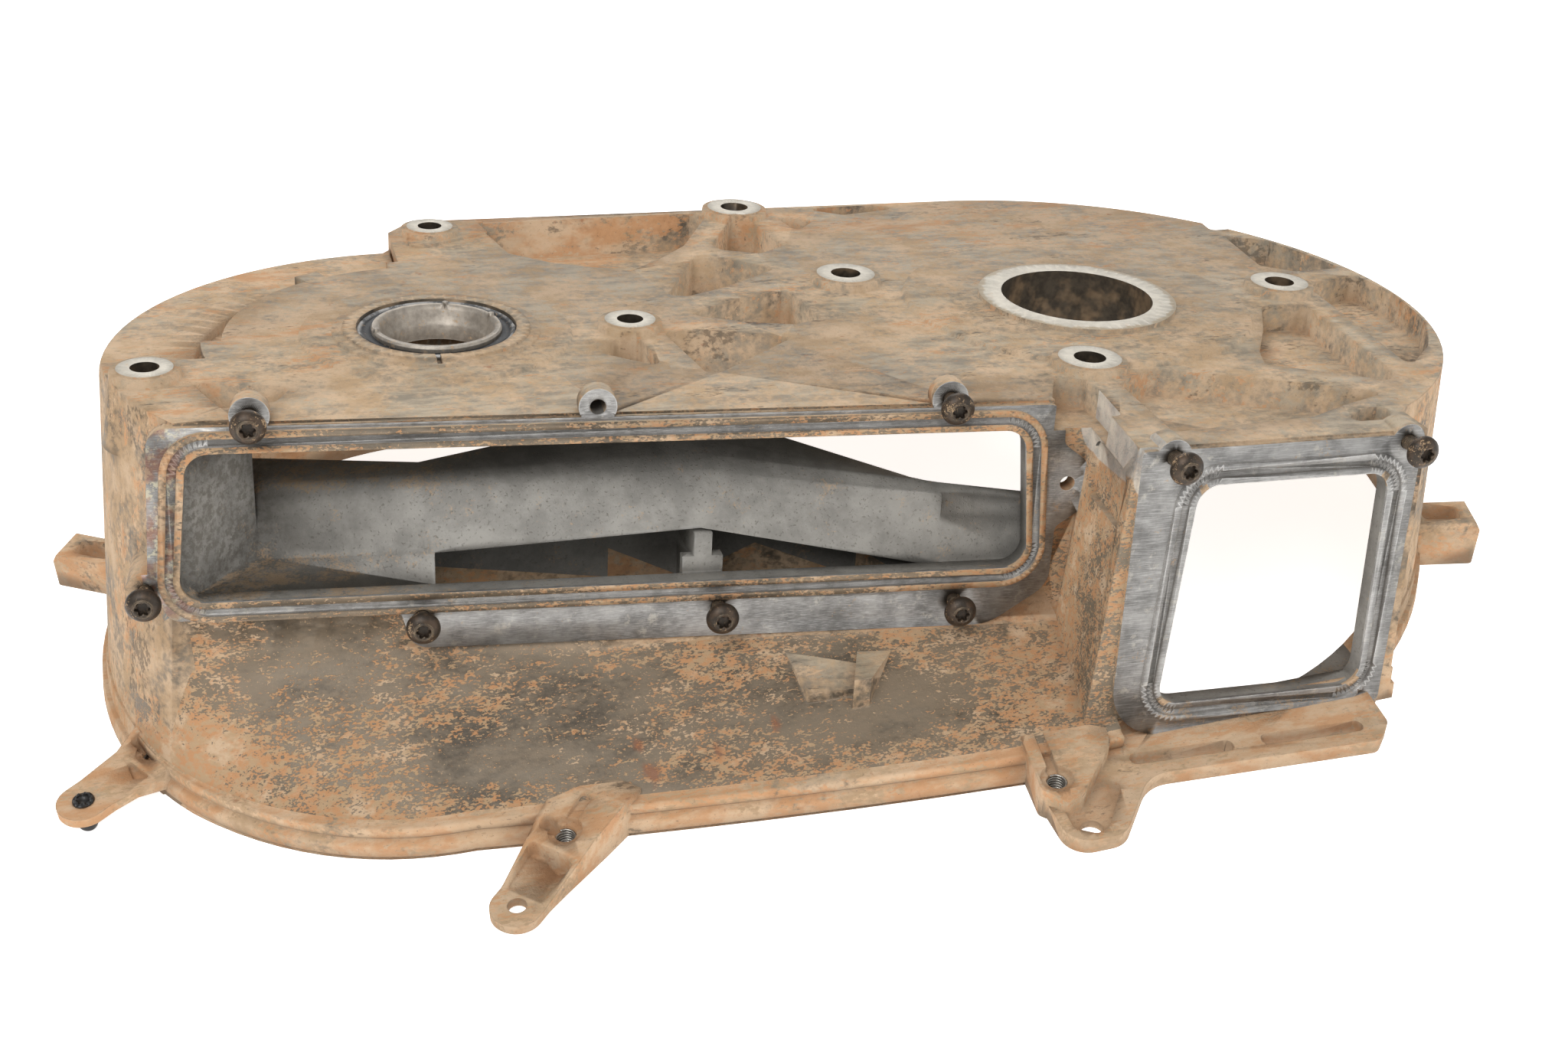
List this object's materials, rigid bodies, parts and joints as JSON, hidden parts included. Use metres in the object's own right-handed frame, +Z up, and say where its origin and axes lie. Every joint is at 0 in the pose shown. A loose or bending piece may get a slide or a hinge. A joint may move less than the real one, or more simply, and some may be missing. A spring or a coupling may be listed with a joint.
{
  "type": "inner clutch cover",
  "caption": "Used cast inner clutch cover with two bores, bossed top, two duct windows, mounting feet, shaft seal and flange screws.",
  "frame": {"origin": "centre of the overall box, on the plane of the open rim", "axes": "+X along the line of the two bores, from the small bore to the large one; +Z up from the rim plane towards the bossed face; the two duct windows face -Y"},
  "size_m": [0.6158, 0.3824, 0.1607],
  "materials": {
    "cast_alloy": "matte",
    "seal_rubber": "matte",
    "collar_metal": "satin",
    "screw_steel": "matte",
    "insert_steel": "satin",
    "clip_plastic": "matte"
  },
  "bodies": {
    "root": {"cover_casting": "cast_alloy", "shaft_seal": "seal_rubber", "seal_collar": "collar_metal", "flange_screws": "screw_steel", "thread_inserts": "insert_steel", "push_clip": "clip_plastic"}
  },
  "joints": []
}
